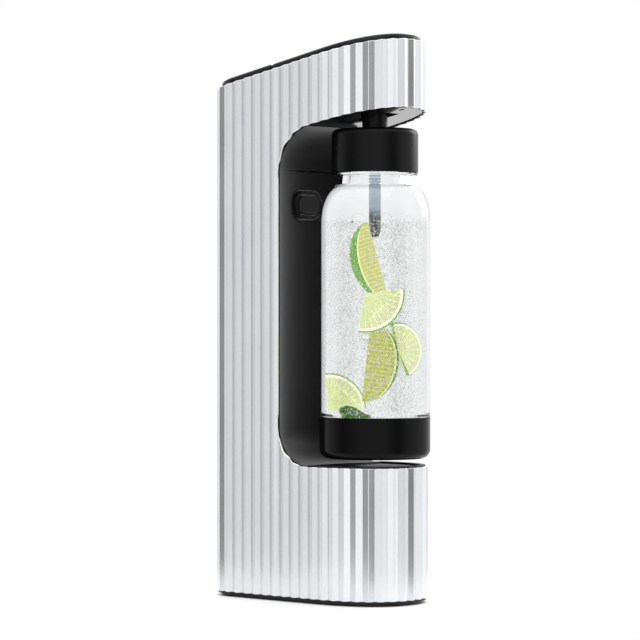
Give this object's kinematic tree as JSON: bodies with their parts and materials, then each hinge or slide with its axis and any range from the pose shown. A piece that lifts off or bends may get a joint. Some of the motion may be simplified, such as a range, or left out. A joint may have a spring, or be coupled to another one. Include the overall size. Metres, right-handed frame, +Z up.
{
  "type": "soda carbonator",
  "caption": "Slim manual soda carbonator: pleated aluminium casing with an open front bay, a tilting carbonating head and a hanging glass bottle, press plate on top, gas cylinder in the column.",
  "frame": {"origin": "centre of the footprint box, on the table under the rubber feet", "axes": "+Z up, -Y towards the user and the open side of the bay, +X across the machine"},
  "size_m": [0.092, 0.1816, 0.4364],
  "materials": {
    "shell_aluminium": "blasted satin anodised",
    "press_plastic": "fine matt black",
    "panel_plastic": "satin black",
    "underplate_gloss": "gloss black",
    "base_plastic": "fine matt black",
    "collar_plastic": "satin black",
    "cup_plastic": "satin black",
    "button_plastic": "soft matt black",
    "frame_plastic": "plain moulded, glass filled",
    "rubber": "matt",
    "seal_rubber": "smooth",
    "steel": "plain",
    "nozzle_steel": "polished",
    "valve_aluminium": "machined",
    "brass": "machined",
    "cylinder_paint": "satin lacquer",
    "glass": "clear"
  },
  "bodies": {
    "casing": {"outer_shell": "shell_aluminium", "base_plate": "base_plastic", "rubber_feet": "rubber", "base_screws": "steel", "base_frame": "frame_plastic", "base_deck": "frame_plastic", "lower_panel": "panel_plastic", "upper_panel": "panel_plastic", "head_underplate": "underplate_gloss", "rear_lid": "press_plastic", "left_rail": "frame_plastic", "right_rail": "frame_plastic", "head_frame": "frame_plastic", "frame_screws": "steel", "lever_frame": "steel", "valve_block": "valve_aluminium", "block_screws": "steel", "socket_seal": "seal_rubber", "relief_body": "brass", "relief_spring": "steel", "gas_hose": "rubber", "hose_clips": "steel", "lever_pin": "steel", "lever_spring": "steel", "swivel_bracket": "frame_plastic", "swivel_pin": "steel", "button_bezel": "panel_plastic", "button_spring": "steel"},
    "hatch": {"cylinder_hatch": "base_plastic", "cylinder_pad": "rubber"},
    "tray": {"drip_tray": "base_plastic"},
    "press": {"press_plate": "press_plastic", "press_lever": "steel"},
    "pusher": {"push_pin": "steel"},
    "relief": {"relief_poppet": "steel"},
    "cylinder": {"co2_cylinder": "cylinder_paint", "cylinder_valve": "brass"},
    "swivel": {"swivel_neck": "collar_plastic", "bottle_collar": "collar_plastic", "dip_nozzle": "nozzle_steel", "bottle_seal": "seal_rubber"},
    "bottle": {"bottle_glass": "glass", "bottle_cup": "cup_plastic"},
    "button": {"release_button": "button_plastic"}
  },
  "joints": [
    {"name": "press_hinge", "type": "hinge", "parent": "casing", "child": "press", "pos_m": [0, 0.07877, 0.39343], "axis": [1, 0, 0], "range_deg": [0, 1.4], "stiffness_Nm_per_rad": 6, "springref_deg": -6.88, "deforming": ["lever_spring"]},
    {"name": "push_slide", "type": "slide", "parent": "casing", "child": "pusher", "axis": [0, 0, -1], "range_m": [0, 0.0006]},
    {"name": "relief_slide", "type": "slide", "parent": "casing", "child": "relief", "axis": [-1, 0, 0], "range_m": [0, 0.0015], "stiffness_N_per_m": 300, "springref_m": -0.004, "deforming": ["relief_spring"]},
    {"name": "cylinder_turn", "type": "hinge", "parent": "casing", "child": "cylinder", "pos_m": [0, 0.05668, 0.3597], "axis": [0, 0, -1], "range_deg": [0, 1080]},
    {"name": "hatch_turn", "type": "hinge", "parent": "casing", "child": "hatch", "pos_m": [0, 0.05668, 0.0037], "axis": [0, 0, 1], "range_deg": [0, 45]},
    {"name": "bottle_tilt", "type": "hinge", "parent": "casing", "child": "swivel", "pos_m": [0, -0.04793, 0.38715], "axis": [-1, 0, 0], "range_deg": [0, 20]},
    {"name": "bottle_drop", "type": "slide", "parent": "swivel", "child": "bottle", "axis": [0, 0, -1], "range_m": [0, 0.0026]},
    {"name": "tray_lift", "type": "slide", "parent": "casing", "child": "tray", "axis": [0, 0, 1], "range_m": [0, 0.004]},
    {"name": "button_press", "type": "slide", "parent": "casing", "child": "button", "axis": [0, 1, 0], "range_m": [0, 0.0015], "stiffness_N_per_m": 200, "springref_m": -0.003, "deforming": ["button_spring"]}
  ],
  "couplings": [
    {"joint": "push_slide", "follows": "press_hinge", "m_per_rad": 0.0221},
    {"joint": "bottle_drop", "follows": "bottle_tilt", "m_per_rad": 0.007162}
  ]
}
